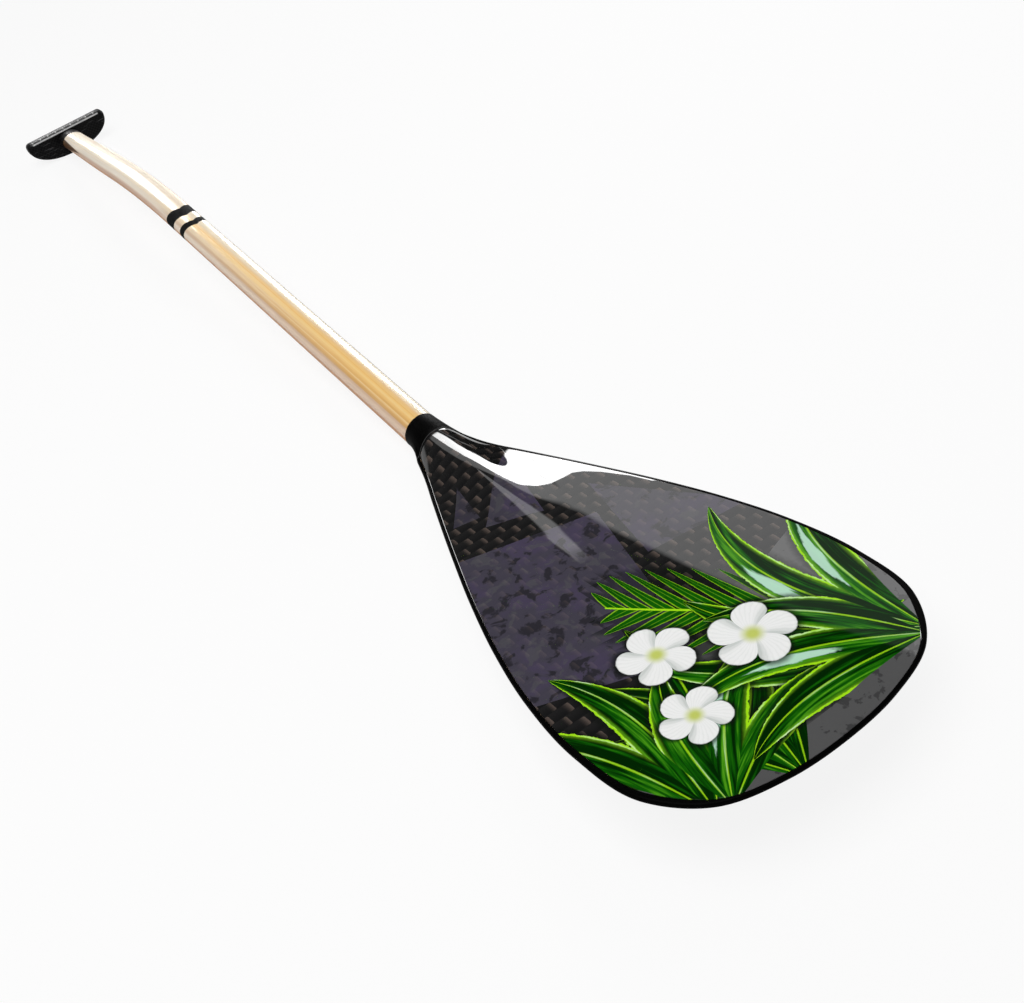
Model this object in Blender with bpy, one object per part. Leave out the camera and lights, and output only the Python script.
"""An outrigger canoe paddle: a bent laminated wood shaft, a carbon blade over a wood core, and a palm grip.

Units are metres and +Z is up. The paddle is drawn in the blade's own frame, where X runs across the
blade, Y runs from the tip to the grip, and the flat front face lies at Z = 0. One empty then lays the
finished paddle down as it rests, on the underside of its neck and the underside of its grip.
"""

import math

import bmesh
import bpy
from mathutils import Matrix, Vector

# Driving dimensions
GAP = 0.0003  # between two pieces that touch

# The right half of the blade's outline, from the middle of the tip to the neck
HALF_OUTLINE = (
    (0.0, 0.0),
    (0.0458, 0.0040),
    (0.0893, 0.0194),
    (0.1188, 0.0557),
    (0.1268, 0.1130),
    (0.1214, 0.1755),
    (0.1094, 0.2303),
    (0.0923, 0.2870),
    (0.0707, 0.3480),
    (0.0443, 0.4175),
    (0.0300, 0.4540),
    (0.0242, 0.4720),
)
OUTLINE_STEPS = 14  # points drawn between two of these

EDGE_THICKNESS = 0.0047
BACK_CROWN = 0.0033  # how much thicker the middle of the blade is
CROWN_START = 0.150  # where the crown reaches its full height
EDGE_LIFT_START = 0.425  # from here the edges rise, to meet the sides of the round shaft
SKIN = 0.0008

# The bare lip of the edge guard: narrow at the middle of the tip, widest at its corners
LIP_TIP = 0.0022
LIP_CORNER = 0.0050
LIP_SIDE = 0.0032
CORNER_Y = 0.045
LIP_SIDE_Y = 0.190
GUARD_JOINT_Y = 0.135  # where the tip guard meets the side guards

# The rib under the front skin, where the shaft runs out into the blade
NECK_Y = 0.4720
RIB_START = 0.300
RIB_HEIGHT = 0.0198
RIB_POWER = 1.7
RIB_HALF_WIDTH = 0.034
RIB_FLANK_LENGTH = 0.060  # over which the rib's foot turns from a corner into a sweep

# The shaft's axis
COLLAR_TOP_Y = 0.5009
COLLAR_TOP_Z = 0.0082
BLADE_ANGLE = math.radians(10.08)
NECK_BEND = 0.062  # length of the lower bend, inside the blade
STRAIGHT_LENGTH = 0.4618
UPPER_BEND = math.radians(9.65)
UPPER_BEND_LENGTH = 0.1704
HANDLE_LENGTH = 0.1635  # straight again, up to the mouth of the grip's socket

# The shaft's half width across the blade and half depth at right angles to it
NECK_HALF_WIDTH = 0.0160
NECK_HALF_DEPTH = 0.0165
GRIP_HALF_WIDTH = 0.0150
GRIP_HALF_DEPTH = 0.0110
GRIP_TAPER = 0.0011  # the last stretch narrows by this much on each side
GRIP_TAPER_LENGTH = 0.130
STRIP_EDGES = (-1.0, -0.6, -0.2, 0.2, 0.6, 1.0)  # glue lines, as shares of the half depth
OUTER_FLAT = 0.998  # the outer strips end in a narrow flat, at this share of the half depth
THINNEST_STRIP = 0.0006  # a strip that the tenon's taper leaves thinner than this ends there

# The tenon in the neck and the blade
TENON_HALF_WIDTH = 0.0148
TENON_BOTTOM = -0.0064
TENON_TOP_COVER = 0.0018  # what the collar keeps over the tenon
TENON_END = 0.3003
TENON_LEAST = 0.001
TENON_SQUARING = 0.012  # over which its round section turns square
COLLAR_STEP = 0.0003  # the collar stands this far proud of the shaft
HOLE_DEPTH = 0.037
HOLE_PLAY = 0.0004  # the glue gap round the tenon
COLLAR_FLAT = 0.0095  # half width of the flat under the neck, which the paddle lies on
COLLAR_FLAT_DROP = 0.0004  # from the blade to the shaft, so that the flat stands clear of the shaft

# The core: boards edge to edge, the same each side of the tenon
MIDDLE_BOARD_HALF_WIDTH = 0.0152
BOARD_WIDTH = 0.0375
BOARDS_A_SIDE = 3

# The palm grip, a D-shaped plate square to the shaft
GRIP_TWIST = math.radians(2.2)  # how far it is set round the shaft from square
GRIP_HALF_LENGTH = 0.0525
GRIP_FRONT = 0.0140
GRIP_CURVE_DEPTH = 0.0275
GRIP_CURVE_POWER = 2.23
GRIP_CORNER = 0.0055
GRIP_LEAST_CORNER = 0.0015  # inside the shells
GRIP_THICKNESS = 0.0145
GRIP_EDGE_RADIUS = 0.0042
GRIP_WALL = 0.0014
GRIP_SEAM = 0.0070  # height of the seam between the two shells
SOCKET_LENGTH = 0.0150  # from the mouth to the underside of the plate
SOCKET_STEP = 0.0002  # the socket stands this far proud of the shaft
SPIGOT_HALF_WIDTH = 0.0122
SPIGOT_HALF_DEPTH = 0.0084
SPIGOT_DEPTH = 0.0095  # how far the spigot reaches into the plate

# Mesh steps
COLUMNS = 16
TIP_EDGE_Y = 0.024  # the tip's curve turns into the blade's sides here
TIP_END_Y = 0.175  # rows are straight from here on
TIP_ROWS = 7
SIDE_ROWS = 8
RIB_ROWS = 14
GUARD_STEP = 0.016
GUARD_CORNER_STEP = 0.009
TENON_STEPS = 19
TAPER_STEPS = 4
COLLAR_POINTS = 32
COLLAR_RINGS = 8
GRIP_CURVE_STEPS = 30

SMOOTH_ANGLE = math.radians(35)  # faces that meet at more than this have a sharp edge
COLOURS = {
    "shaft_pale": (0.86, 0.72, 0.52),
    "shaft_amber": (0.84, 0.62, 0.34),
    "core_wood": (0.80, 0.66, 0.46),
    "carbon": (0.020, 0.020, 0.022),
    "guard_black": (0.006, 0.006, 0.006),
    "collar_black": (0.004, 0.004, 0.004),
    "grip_carbon": (0.012, 0.012, 0.013),
    "grip_foam": (0.60, 0.60, 0.56),
}


def clear_scene():
    for obj in list(bpy.data.objects):
        bpy.data.objects.remove(obj, do_unlink=True)
    for collection in list(bpy.data.collections):
        bpy.data.collections.remove(collection)


def material(name, roughness, metallic=0.0, coat=0.0):
    made = bpy.data.materials.new(name)
    made.use_nodes = True
    shader = made.node_tree.nodes["Principled BSDF"]
    shader.inputs["Base Color"].default_value = (*COLOURS[name], 1.0)
    shader.inputs["Roughness"].default_value = roughness
    shader.inputs["Metallic"].default_value = metallic
    shader.inputs["Coat Weight"].default_value = coat
    made.diffuse_color = (*COLOURS[name], 1.0)
    return made


clear_scene()
PADDLE = bpy.data.collections.new("outrigger_canoe_paddle")
CUTTERS = bpy.data.collections.new("cutters")
for collection in (PADDLE, CUTTERS):
    bpy.context.scene.collection.children.link(collection)
CUTTERS.hide_render = True

MATERIALS = {
    "shaft_pale": material("shaft_pale", 0.25, coat=1.0),
    "shaft_amber": material("shaft_amber", 0.25, coat=1.0),
    "core_wood": material("core_wood", 0.7),
    "carbon": material("carbon", 0.18, coat=1.0),
    "guard_black": material("guard_black", 0.35),
    "collar_black": material("collar_black", 0.3),
    "grip_carbon": material("grip_carbon", 0.15, coat=1.0),
    "grip_foam": material("grip_foam", 0.9),
}

REST = bpy.data.objects.new("paddle_rest", None)
PADDLE.objects.link(REST)
GRIP_FRAME = bpy.data.objects.new("grip_frame", None)
PADDLE.objects.link(GRIP_FRAME)
GRIP_FRAME.parent = REST


def add_object(name, mesh, material_name, parent=REST):
    """A node of the paddle, shaded smooth except at sharp edges."""
    obj = bpy.data.objects.new(name, mesh)
    mesh.materials.clear()
    mesh.materials.append(MATERIALS[material_name])
    mesh.shade_smooth()
    mesh.set_sharp_from_angle(angle=SMOOTH_ANGLE)
    PADDLE.objects.link(obj)
    obj.parent = parent
    return obj


def add_cutter(name, mesh, parent=REST):
    obj = bpy.data.objects.new(name, mesh)
    CUTTERS.objects.link(obj)
    obj.parent = parent
    obj.hide_render = True
    obj.display_type = "WIRE"
    return obj


def boolean(obj, cutter, operation):
    modifier = obj.modifiers.new(f"{operation.lower()}_{cutter.name}", "BOOLEAN")
    modifier.operation = operation
    modifier.solver = "EXACT"
    modifier.object = cutter


def mesh_from(name, work):
    bmesh.ops.recalc_face_normals(work, faces=work.faces[:])
    mesh = bpy.data.meshes.new(name)
    work.to_mesh(mesh)
    work.free()
    return mesh


def loft(name, sections):
    """A closed body through rings of points with the same count, capped at both ends."""
    work = bmesh.new()
    rings = [[work.verts.new(point) for point in section] for section in sections]
    count = len(rings[0])
    for lower, upper in zip(rings, rings[1:]):
        for i in range(count):
            j = (i + 1) % count
            work.faces.new((lower[i], lower[j], upper[j], upper[i]))
    work.faces.new(rings[0][::-1])
    work.faces.new(rings[-1])
    return mesh_from(name, work)


def box_mesh(name, low, high):
    work = bmesh.new()
    bmesh.ops.create_cube(work, size=1.0)
    size = Vector(high) - Vector(low)
    centre = (Vector(high) + Vector(low)) / 2
    bmesh.ops.scale(work, vec=size, verts=work.verts[:])
    bmesh.ops.translate(work, vec=centre, verts=work.verts[:])
    return mesh_from(name, work)


def smoothstep(value, low, high):
    share = min(1.0, max(0.0, (value - low) / (high - low)))
    return share * share * (3 - 2 * share)


# Outline of the blade
def spline(points, steps):
    """A smooth curve through the points, with the tip's mirror image as its first neighbour."""
    first = Vector((-points[1][0], points[1][1]))
    last = 2 * Vector(points[-1]) - Vector(points[-2])
    knots = [first, *map(Vector, points), last]
    curve = []
    for p0, p1, p2, p3 in zip(knots, knots[1:], knots[2:], knots[3:]):
        d01, d12, d23 = ((b - a).length for a, b in ((p0, p1), (p1, p2), (p2, p3)))
        tangent_1 = ((p1 - p0) / d01 - (p2 - p0) / (d01 + d12) + (p2 - p1) / d12) * d12
        tangent_2 = ((p2 - p1) / d12 - (p3 - p1) / (d12 + d23) + (p3 - p2) / d23) * d12
        for step in range(steps):
            t = step / steps
            h1 = 2 * t**3 - 3 * t**2 + 1
            h2 = t**3 - 2 * t**2 + t
            h3 = -2 * t**3 + 3 * t**2
            h4 = t**3 - t**2
            curve.append(h1 * p1 + h2 * tangent_1 + h3 * p2 + h4 * tangent_2)
    curve.append(Vector(points[-1]))
    return curve


OUTLINE = spline(HALF_OUTLINE, OUTLINE_STEPS)


def inward_normals(curve):
    normals = []
    for i in range(len(curve)):
        before = curve[max(0, i - 1)]
        after = curve[min(len(curve) - 1, i + 1)]
        along = (after - before).normalized()
        normals.append(Vector((-along.y, along.x)))
    normals[0] = Vector((0.0, 1.0))
    return normals


NORMALS = inward_normals(OUTLINE)


def lip_width(y):
    """Width of the edge guard's lip at this height up the blade."""
    corner = LIP_TIP + (LIP_CORNER - LIP_TIP) * smoothstep(y, 0.0, CORNER_Y)
    return corner + (LIP_SIDE - LIP_CORNER) * smoothstep(y, CORNER_Y, LIP_SIDE_Y)


def inset_curve(extra):
    """The outline moved inwards by the lip and this much more, starting on the middle line."""
    moved = []
    for point, normal in zip(OUTLINE, NORMALS):
        moved.append(point + normal * (lip_width(point.y) + extra))
    moved[0].x = 0.0
    return moved


SKIN_CURVE = inset_curve(GAP)


def lengths_along(curve):
    total = [0.0]
    for before, after in zip(curve, curve[1:]):
        total.append(total[-1] + (after - before).length)
    return total


def point_at(curve, lengths, distance):
    for i in range(1, len(curve)):
        if lengths[i] >= distance or i == len(curve) - 1:
            share = (distance - lengths[i - 1]) / (lengths[i] - lengths[i - 1])
            return curve[i - 1].lerp(curve[i], min(1.0, max(0.0, share)))
    return curve[-1]


def half_width_at(curve, y):
    """Half width of this curve at y, on its side past the widest point of the tip."""
    for before, after in zip(curve, curve[1:]):
        if before.y <= y <= after.y:
            return before.x + (after.x - before.x) * (y - before.y) / (after.y - before.y)
    return curve[-1].x


# Faces of the blade, as heights over the plane of the front face
def edge_lift(y):
    """How far the blade's edges stand over that plane, near the neck."""
    full = COLLAR_TOP_Z + EDGE_THICKNESS / 2
    return full * (max(0.0, y - EDGE_LIFT_START) / (COLLAR_TOP_Y - EDGE_LIFT_START)) ** 2


def rib_crest(y):
    if y <= RIB_START:
        return 0.0
    return RIB_HEIGHT * ((y - RIB_START) / (NECK_Y - RIB_START)) ** RIB_POWER


def rib_half_width(y):
    return min(RIB_HALF_WIDTH, half_width_at(SKIN_CURVE, y))


def rib_profile(share, y):
    """Height of the rib across the blade: a dome at the neck, which gains a swept foot below it."""
    if abs(share) >= 1.0:
        return 0.0
    sweep = smoothstep(NECK_Y - y, 0.0, RIB_FLANK_LENGTH)
    dome = 1 - abs(share) ** 2.4
    swept = math.cos(math.pi * share / 2) ** 2
    return dome + (swept - dome) * sweep


def front_height(x, y):
    crest = rib_crest(y)
    if not crest:
        return 0.0
    lift = edge_lift(y)
    return lift + (crest - lift) * rib_profile(x / rib_half_width(y), y)


def back_height(x, y):
    """The back swells towards its middle line, and is nearly flat across at the neck."""
    share = min(1.0, abs(x) / max(GAP, half_width_at(SKIN_CURVE, y)))
    lens = (1 - share * share) ** 1.5
    flat = 1 - share**4
    crown = lens + (flat - lens) * smoothstep(y, RIB_START, NECK_Y)
    lift = edge_lift(y)
    depth = lift + BACK_CROWN * smoothstep(y, 0.0, CROWN_START)
    return lift - EDGE_THICKNESS - depth * crown


def blade_grid():
    """Rows of (x, y) over the blade inside the edge guard, curved like the tip at the tip."""
    lengths = lengths_along(SKIN_CURVE)

    def first_past(y):
        return next(i for i, point in enumerate(SKIN_CURVE) if point.y > y)

    corner, widest, rib = first_past(TIP_EDGE_Y), first_past(TIP_END_Y), first_past(RIB_START)
    tip_curve = SKIN_CURVE[: corner + 1]
    corner_point = SKIN_CURVE[corner]

    def tip_y(x):
        for before, after in zip(tip_curve, tip_curve[1:]):
            if before.x <= abs(x) < after.x:
                return before.y + (after.y - before.y) * (abs(x) - before.x) / (after.x - before.x)
        return corner_point.y

    stops = (
        (lengths[corner], lengths[widest], TIP_ROWS),
        (lengths[widest], lengths[rib], SIDE_ROWS),
        (lengths[rib], lengths[-1], RIB_ROWS),
    )
    distances = [lengths[corner]]
    for start, end, rows in stops:
        distances += [start + (end - start) * (i + 1) / rows for i in range(rows)]
    grid = []
    for distance in distances:
        side = point_at(SKIN_CURVE, lengths, distance)
        if distance == distances[-1]:
            side.y = NECK_Y - GAP
        share = (distance - lengths[corner]) / (lengths[widest] - lengths[corner])
        bend = max(0.0, 1 - share) ** 2
        row = []
        for column in range(COLUMNS + 1):
            u = 2 * column / COLUMNS - 1
            sag = corner_point.y - tip_y(u * corner_point.x)
            row.append((side.x * u, side.y - sag * bend))
        grid.append(row)
    return grid


GRID = blade_grid()


def slab(name, top, bottom):
    """A closed plate over the blade's grid between two height functions, in matching triangles."""
    work = bmesh.new()
    layers = []
    for height in (top, bottom):
        layers.append([[work.verts.new((x, y, height(x, y))) for x, y in row] for row in GRID])
    for layer in layers:
        for lower, upper in zip(layer, layer[1:]):
            for i in range(COLUMNS):
                work.faces.new((lower[i], lower[i + 1], upper[i + 1]))
                work.faces.new((lower[i], upper[i + 1], upper[i]))
    upper_layer, lower_layer = layers

    def rim_of(layer):
        left = [row[0] for row in layer[1:-1]]
        right = [row[-1] for row in layer[1:-1]]
        return [*layer[0], *right, *layer[-1][::-1], *left[::-1]]

    top_rim, bottom_rim = rim_of(upper_layer), rim_of(lower_layer)
    for i in range(len(top_rim)):
        j = (i + 1) % len(top_rim)
        work.faces.new((top_rim[i], top_rim[j], bottom_rim[j], bottom_rim[i]))
    return mesh_from(name, work)


def build_skins():
    add_object(
        "blade_front_skin",
        slab("blade_front_skin", front_height, lambda x, y: front_height(x, y) - SKIN),
        "carbon",
    )
    add_object(
        "blade_back_skin",
        slab("blade_back_skin", lambda x, y: back_height(x, y) + SKIN, back_height),
        "carbon",
    )


def build_core():
    """Boards sawn from one blank: a middle board below the tenon, and three on each side."""
    inside = SKIN + GAP
    blank = slab(
        "core_blank",
        lambda x, y: front_height(x, y) - inside,
        lambda x, y: back_height(x, y) + inside,
    )
    reach = 0.05  # the saw cuts run this far above and below the blade
    edge = MIDDLE_BOARD_HALF_WIDTH
    cuts = [("core_board_middle", -edge, edge, TENON_END - GAP)]
    for side, word in ((-1, "left"), (1, "right")):
        for index in range(BOARDS_A_SIDE):
            inner = edge + GAP + index * BOARD_WIDTH
            outer = inner + BOARD_WIDTH - GAP
            low, high = sorted((side * inner, side * outer))
            cuts.append((f"core_board_{word}_{index + 1}", low, high, NECK_Y + reach))
    for name, low, high, end in cuts:
        board = add_object(name, blank.copy(), "core_wood")
        saw = box_mesh(f"{name}_cut", (low, -reach, -reach), (high, end, reach))
        boolean(board, add_cutter(f"{name}_cut", saw), "INTERSECT")


def guard_section(point, inward, lip):
    """A bar with a round outer edge: its lips lie flush with the two skins."""
    radius = EDGE_THICKNESS / 2
    section = [(lip, 0.0), (lip, -EDGE_THICKNESS)]
    for i in range(7):
        angle = -math.pi / 2 - math.pi * i / 6
        section.append((radius + radius * math.cos(angle), -radius + radius * math.sin(angle)))
    places = []
    for depth, z in section:
        flat = point + inward * depth
        places.append((flat.x, flat.y, z + edge_lift(flat.y)))
    return places


def build_edge_guards():
    """Three lengths of guard butt together: one round the tip, and one up each side."""
    lengths = lengths_along(OUTLINE)
    joint = next(i for i, point in enumerate(OUTLINE) if point.y > GUARD_JOINT_Y)
    joint_length = lengths[joint]
    end_length = lengths[-1] - GAP

    def section_at(distance, side):
        point = point_at(OUTLINE, lengths, distance)
        ahead = point_at(OUTLINE, lengths, min(distance + 0.001, lengths[-1]))
        behind = point_at(OUTLINE, lengths, max(distance - 0.001, 0.0))
        along = (ahead - behind).normalized() if distance > 0.001 else Vector((1.0, 0.0))
        inward = Vector((-along.y * side, along.x))
        return guard_section(Vector((point.x * side, point.y)), inward, lip_width(point.y))

    def spaced(start, end, step):
        count = max(1, round((end - start) / step))
        return [start + (end - start) * i / count for i in range(count + 1)]

    half_tip = spaced(0.0, joint_length - GAP / 2, GUARD_CORNER_STEP)
    tip = [section_at(distance, -1) for distance in reversed(half_tip[1:])]
    tip += [section_at(distance, 1) for distance in half_tip]
    add_object("tip_edge_guard", loft("tip_edge_guard", tip), "guard_black")
    for side, word in ((-1, "left"), (1, "right")):
        stations = spaced(joint_length + GAP / 2, end_length, GUARD_STEP)
        name = f"{word}_edge_guard"
        sections = [section_at(distance, side) for distance in stations]
        add_object(name, loft(name, sections), "guard_black")


# The shaft's axis and its laminations
def axis_at(s):
    """(y, z, angle) of the axis at this distance above the collar's top, or below it if negative."""
    if s < 0:
        angle = BLADE_ANGLE * max(0.0, 1 + s / NECK_BEND)
        radius = NECK_BEND / BLADE_ANGLE
        y = COLLAR_TOP_Y - radius * (math.sin(BLADE_ANGLE) - math.sin(angle))
        z = COLLAR_TOP_Z - radius * (math.cos(angle) - math.cos(BLADE_ANGLE))
        return y + min(0.0, s + NECK_BEND), z, angle
    run = min(s, STRAIGHT_LENGTH)
    y = COLLAR_TOP_Y + run * math.cos(BLADE_ANGLE)
    z = COLLAR_TOP_Z + run * math.sin(BLADE_ANGLE)
    s -= run
    turned = UPPER_BEND * min(1.0, s / UPPER_BEND_LENGTH)
    angle = BLADE_ANGLE - turned
    radius = UPPER_BEND_LENGTH / UPPER_BEND
    y += radius * (math.sin(BLADE_ANGLE) - math.sin(angle))
    z += radius * (math.cos(angle) - math.cos(BLADE_ANGLE))
    rest = max(0.0, s - UPPER_BEND_LENGTH)
    return y + rest * math.cos(angle), z + rest * math.sin(angle), angle


SHAFT_LENGTH = STRAIGHT_LENGTH + UPPER_BEND_LENGTH + HANDLE_LENGTH
GRIP_ANGLE = BLADE_ANGLE - UPPER_BEND


def place(s, x, n):
    """A point at x across and n square to the axis, in the blade's frame."""
    y, z, angle = axis_at(s)
    return (x, y - n * math.sin(angle), z + n * math.cos(angle))


def shaft_half_size(s):
    share = min(1.0, max(0.0, s / SHAFT_LENGTH))
    half_width = NECK_HALF_WIDTH + (GRIP_HALF_WIDTH - NECK_HALF_WIDTH) * share
    half_depth = NECK_HALF_DEPTH + (GRIP_HALF_DEPTH - NECK_HALF_DEPTH) * share
    taper = GRIP_TAPER * smoothstep(s, SHAFT_LENGTH - GRIP_TAPER_LENGTH, SHAFT_LENGTH)
    return half_width - taper, half_depth - taper


def ellipse_half_width(n, half_width, half_depth):
    return half_width * math.sqrt(max(0.0, 1 - (n / half_depth) ** 2))


def collar_top(y):
    share = (y - NECK_Y) / (COLLAR_TOP_Y - NECK_Y)
    neck_top = COLLAR_TOP_Z + NECK_HALF_DEPTH / math.cos(BLADE_ANGLE)
    return RIB_HEIGHT + (neck_top - RIB_HEIGHT) * share


def half_width_inside(z, y, widest):
    """How far from the middle line a point at height z stays between the two skins, by halving."""
    low, high = 0.0, widest
    inside = SKIN + 1.5 * GAP
    for _ in range(20):
        middle = (low + high) / 2
        if back_height(middle, y) + inside < z < front_height(middle, y) - inside:
            low = middle
        else:
            high = middle
    return max(low, TENON_LEAST)


def tenon_limits(s, grow=0.0):
    """Lowest and highest n of the tenon here, under what covers it."""
    y, z, angle = axis_at(s)
    if y > NECK_Y:
        cover = collar_top(y) - TENON_TOP_COVER
    else:
        cover = rib_crest(y) - SKIN - 1.5 * GAP
    low = max(TENON_BOTTOM - z, -TENON_HALF_WIDTH) - grow
    high = min((cover - z) / math.cos(angle), TENON_HALF_WIDTH) + grow
    return low, high


def tenon_half_width(s, n):
    """The tenon is round in the collar, and fills the room between the skins in the blade."""
    y, z, _ = axis_at(s)
    rounded = ellipse_half_width(n, TENON_HALF_WIDTH, TENON_HALF_WIDTH)
    if y > NECK_Y:
        return rounded
    squared = smoothstep(NECK_Y - y, 0.0, TENON_SQUARING)
    square = rounded + (TENON_HALF_WIDTH - rounded) * squared
    return half_width_inside(z + n, y, square)


def strip_section(s, low_edge, high_edge, kind, steps):
    """One lamination's section: its two glue faces are flat and its sides follow the shaft."""
    half_width, half_depth = shaft_half_size(s)
    low_glue, high_glue = low_edge * half_depth, high_edge * half_depth
    if kind == "spigot":
        half_width, half_depth = SPIGOT_HALF_WIDTH, SPIGOT_HALF_DEPTH
    if kind == "tenon":
        low, high = tenon_limits(s)
    else:
        low, high = -OUTER_FLAT * half_depth, OUTER_FLAT * half_depth
    low = max(low, low_glue + GAP / 2)
    high = min(high, high_glue - GAP / 2)
    if high - low < THINNEST_STRIP:
        return None
    side = []
    for i in range(steps + 1):
        share = (1 - math.cos(math.pi * i / steps)) / 2
        n = low + (high - low) * share
        if kind == "tenon":
            x = tenon_half_width(s, n)
        else:
            x = ellipse_half_width(n, half_width, half_depth)
        side.append((x, n))
    ring = side + [(-x, n) for x, n in reversed(side)]
    return [place(s, x, n) for x, n in ring]


def shaft_stations():
    """(distance, kind) along the shaft, from the tenon's end in the blade to the spigot's end."""
    y_end, _, _ = axis_at(-NECK_BEND)
    deepest = -NECK_BEND - (y_end - TENON_END)
    shoulder = 0.9 * GAP
    step = (shoulder - deepest) / TENON_STEPS
    stations = [(deepest + step * i, "tenon") for i in range(TENON_STEPS + 1)]
    stations.append((GAP, "shaft"))
    stations += [(STRAIGHT_LENGTH * i / 4, "shaft") for i in range(1, 5)]
    stations += [(STRAIGHT_LENGTH + UPPER_BEND_LENGTH * i / 8, "shaft") for i in range(1, 9)]
    for i in range(TAPER_STEPS):
        stations.append((SHAFT_LENGTH - GRIP_TAPER_LENGTH * (1 - i / TAPER_STEPS), "shaft"))
    stations.append((SHAFT_LENGTH - GAP / 10, "shaft"))
    stations.append((SHAFT_LENGTH, "spigot"))
    stations.append((SHAFT_LENGTH + SOCKET_LENGTH + SPIGOT_DEPTH, "spigot"))
    return stations


def build_shaft():
    names = ("bottom", "lower", "middle", "upper", "top")
    woods = ("shaft_pale", "shaft_amber", "shaft_pale", "shaft_amber", "shaft_pale")
    for index, (name, wood) in enumerate(zip(names, woods)):
        outer = index in (0, len(names) - 1)
        steps = 6 if outer else 3
        sections = []
        for s, kind in shaft_stations():
            section = strip_section(s, STRIP_EDGES[index], STRIP_EDGES[index + 1], kind, steps)
            if section:
                sections.append(section)
        node = f"shaft_strip_{name}"
        add_object(node, loft(node, sections), wood)


def collar_section(share, turn):
    """A point of the collar's outer face. Its section is the blade's at share 0, the shaft's at 1."""
    half_width = NECK_HALF_WIDTH + COLLAR_STEP
    half_depth = NECK_HALF_DEPTH + COLLAR_STEP
    edge = HALF_OUTLINE[-1][0]
    width = half_width + (edge - half_width) * (1 - share) ** 2
    _, round_y, round_z = place(0.0, 0.0, half_depth * math.sin(turn))
    edge_z = edge_lift(NECK_Y) - EDGE_THICKNESS / 2
    x = math.cos(turn)
    if abs(x) > 0.999:
        blade_z = edge_z
    elif turn < math.pi:
        blade_z = front_height(x * edge, NECK_Y)
    else:
        blade_z = back_height(x * edge, NECK_Y)
    bottom_z = -EDGE_THICKNESS - BACK_CROWN
    reach = (RIB_HEIGHT if turn < math.pi else bottom_z) - edge_z
    ellipse_z = edge_z + reach * abs(math.sin(turn))
    filled = 1 - (1 - share) ** 2
    section_z = blade_z + (ellipse_z - blade_z) * filled
    rise = 1 - (1 - share) ** 1.4
    z = section_z + (round_z - section_z) * rise
    if turn > math.pi and abs(x * width) < COLLAR_FLAT:
        z = bottom_z - COLLAR_FLAT_DROP * share
    return (x * width, NECK_Y + (round_y - NECK_Y) * share, z)


def build_collar():
    """The black neck sleeve, round where the shaft enters and flat where it meets the blade."""
    turns = [2 * math.pi * i / COLLAR_POINTS for i in range(COLLAR_POINTS)]
    shares = [i / COLLAR_RINGS for i in range(COLLAR_RINGS + 1)]
    rings = [[collar_section(share, turn) for turn in turns] for share in shares]
    collar = add_object("neck_collar", loft("neck_collar", rings), "collar_black")
    radius = TENON_HALF_WIDTH + HOLE_PLAY
    side_steps = 12
    hole = []
    for share in shares:
        s = HOLE_DEPTH * (share - 1) + GAP
        low, high = tenon_limits(s, 2 * GAP)
        side = []
        for i in range(side_steps + 1):
            n = low + (high - low) * (1 - math.cos(math.pi * i / side_steps)) / 2
            side.append((ellipse_half_width(n, radius, radius), n))
        ring = side + [(-x, n) for x, n in reversed(side)]
        hole.append([place(s, x, n) for x, n in ring])
    boolean(collar, add_cutter("tenon_hole", loft("tenon_hole", hole)), "DIFFERENCE")


# The grip, in its own frame: X along it, Y towards the front of the paddle, Z up the shaft
def grip_outline(inset):
    """The D: a straight front with rounded corners, and a back that curves from end to end."""
    half_length = GRIP_HALF_LENGTH - inset
    corner = max(GRIP_LEAST_CORNER, GRIP_CORNER - inset)
    front = GRIP_FRONT - inset
    depth = GRIP_CURVE_DEPTH - (GRIP_CORNER - corner)
    power = 2 / GRIP_CURVE_POWER
    points = []
    for i in range(GRIP_CURVE_STEPS + 1):
        turn = math.pi * i / GRIP_CURVE_STEPS
        x = half_length * math.copysign(abs(math.cos(turn)) ** power, math.cos(turn))
        points.append((x, front - corner - depth * math.sin(turn) ** power))
    for side, turns in ((-1, range(1, 6)), (1, range(5, 0, -1))):
        for i in turns:
            turn = math.pi / 2 * i / 5
            x = half_length - corner + corner * math.cos(turn)
            points.append((side * x, front - corner + corner * math.sin(turn)))
    return points


def grip_plate(name, inset, bottom, top, radius):
    """The grip's outline as a plate with rounded rims."""
    work = bmesh.new()
    face = work.faces.new([work.verts.new((x, y, bottom)) for x, y in grip_outline(inset)])
    raised = bmesh.ops.extrude_face_region(work, geom=[face])
    lifted = [item for item in raised["geom"] if isinstance(item, bmesh.types.BMVert)]
    bmesh.ops.translate(work, vec=(0, 0, top - bottom), verts=lifted)
    rims = [edge for edge in work.edges if abs(edge.verts[0].co.z - edge.verts[1].co.z) < 1e-6]
    bmesh.ops.bevel(work, geom=rims, offset=radius, segments=3, profile=0.5, affect="EDGES")
    return mesh_from(name, work)


def oval_prism(name, half_width, half_depth, bottom, top, count=32):
    rings = []
    for height in (bottom, top):
        turns = [2 * math.pi * i / count for i in range(count)]
        rings.append([(half_width * math.cos(t), half_depth * math.sin(t), height) for t in turns])
    return loft(name, rings)


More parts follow.
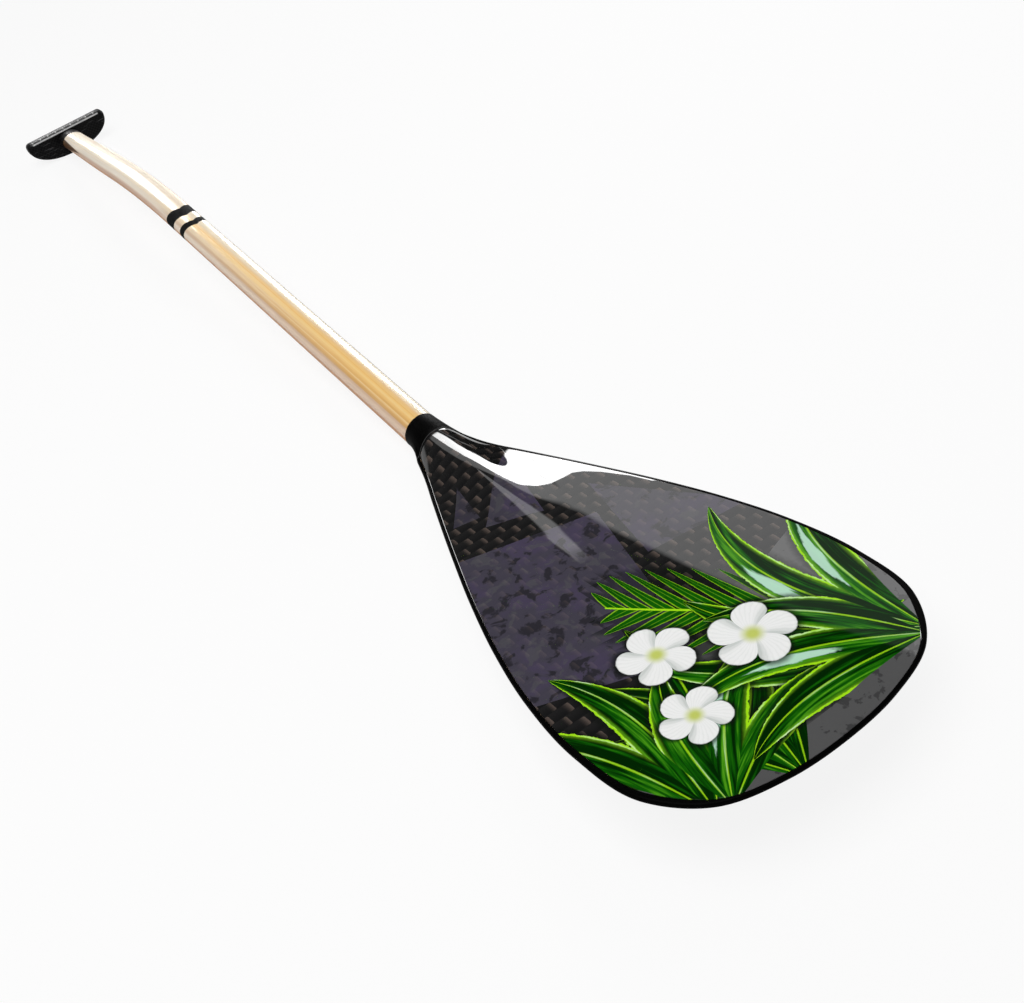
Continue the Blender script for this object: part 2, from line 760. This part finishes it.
def build_grip():
    """Two carbon shells that meet at a seam round a foam core. The lower one has the shaft's socket."""
    y, z, _ = axis_at(SHAFT_LENGTH + SOCKET_LENGTH)
    along_shaft = Matrix.Rotation(GRIP_ANGLE - math.pi / 2, 4, "X")
    front_up = Matrix.Rotation(math.pi - GRIP_TWIST, 4, "Z")
    GRIP_FRAME.matrix_local = Matrix.Translation((0.0, y, z)) @ along_shaft @ front_up
    bottom, top = GAP, GRIP_THICKNESS
    outer = grip_plate("grip_outer", 0.0, bottom, top, GRIP_EDGE_RADIUS)
    inner_radius = GRIP_EDGE_RADIUS - GRIP_WALL
    hollow = grip_plate("grip_hollow", GRIP_WALL, bottom + GRIP_WALL, top - GRIP_WALL, inner_radius)
    hollow_cutter = add_cutter("grip_hollow", hollow, GRIP_FRAME)
    half_width, half_depth = shaft_half_size(SHAFT_LENGTH)
    socket = oval_prism(
        "shaft_socket",
        half_width + SOCKET_STEP,
        half_depth + SOCKET_STEP,
        GAP - SOCKET_LENGTH,
        bottom + GRIP_WALL / 2,
    )
    socket_helper = add_cutter("shaft_socket", socket, GRIP_FRAME)
    spigot = oval_prism(
        "spigot_hole",
        SPIGOT_HALF_WIDTH + GAP,
        SPIGOT_HALF_DEPTH + GAP,
        -1.5 * SOCKET_LENGTH,
        SPIGOT_DEPTH + GAP,
    )
    spigot_cutter = add_cutter("spigot_hole", spigot, GRIP_FRAME)
    reach = 0.08
    halves = (
        ("grip_lower_shell", -reach, GRIP_SEAM - GAP / 2),
        ("grip_upper_shell", GRIP_SEAM + GAP / 2, reach),
    )
    for name, low, high in halves:
        shell = add_object(name, outer.copy(), "grip_carbon", GRIP_FRAME)
        half = box_mesh(f"{name}_half", (-reach, -reach, low), (reach, reach, high))
        boolean(shell, add_cutter(f"{name}_half", half, GRIP_FRAME), "INTERSECT")
        boolean(shell, hollow_cutter, "DIFFERENCE")
        if name == "grip_lower_shell":
            boolean(shell, socket_helper, "UNION")
            boolean(shell, spigot_cutter, "DIFFERENCE")
    inset = GRIP_WALL + GAP
    core_mesh = grip_plate("grip_core", inset, bottom + inset, top - inset, inner_radius - GAP)
    core = add_object("grip_core", core_mesh, "grip_foam", GRIP_FRAME)
    boolean(core, spigot_cutter, "DIFFERENCE")


def lay_down():
    """Tilts the paddle until its neck and its grip touch the ground, and centres it over the origin."""
    bpy.context.view_layer.update()
    graph = bpy.context.evaluated_depsgraph_get()
    points = {}
    for obj in PADDLE.objects:
        if obj.type == "MESH":
            evaluated = obj.evaluated_get(graph)
            points[obj.name] = [obj.matrix_world @ v.co for v in evaluated.to_mesh().vertices]
            evaluated.to_mesh_clear()
    neck = points["neck_collar"]
    grip = points["grip_lower_shell"] + points["grip_upper_shell"]

    def lowest_of(group, tilt):
        return min((tilt @ point for point in group), key=lambda point: point.z)

    slope = 0.0
    for _ in range(6):
        tilt = Matrix.Rotation(-slope, 4, "X")
        low_neck, low_grip = lowest_of(neck, tilt), lowest_of(grip, tilt)
        slope += math.atan2(low_grip.z - low_neck.z, low_grip.y - low_neck.y)
    tilt = Matrix.Rotation(-slope, 4, "X")
    placed = [tilt @ point for group in points.values() for point in group]
    middle_y = (min(p.y for p in placed) + max(p.y for p in placed)) / 2
    REST.rotation_euler = (-slope, 0.0, 0.0)
    REST.location = (0.0, -middle_y, -min(p.z for p in placed))


build_skins()
build_core()
build_edge_guards()
build_shaft()
build_collar()
build_grip()
lay_down()
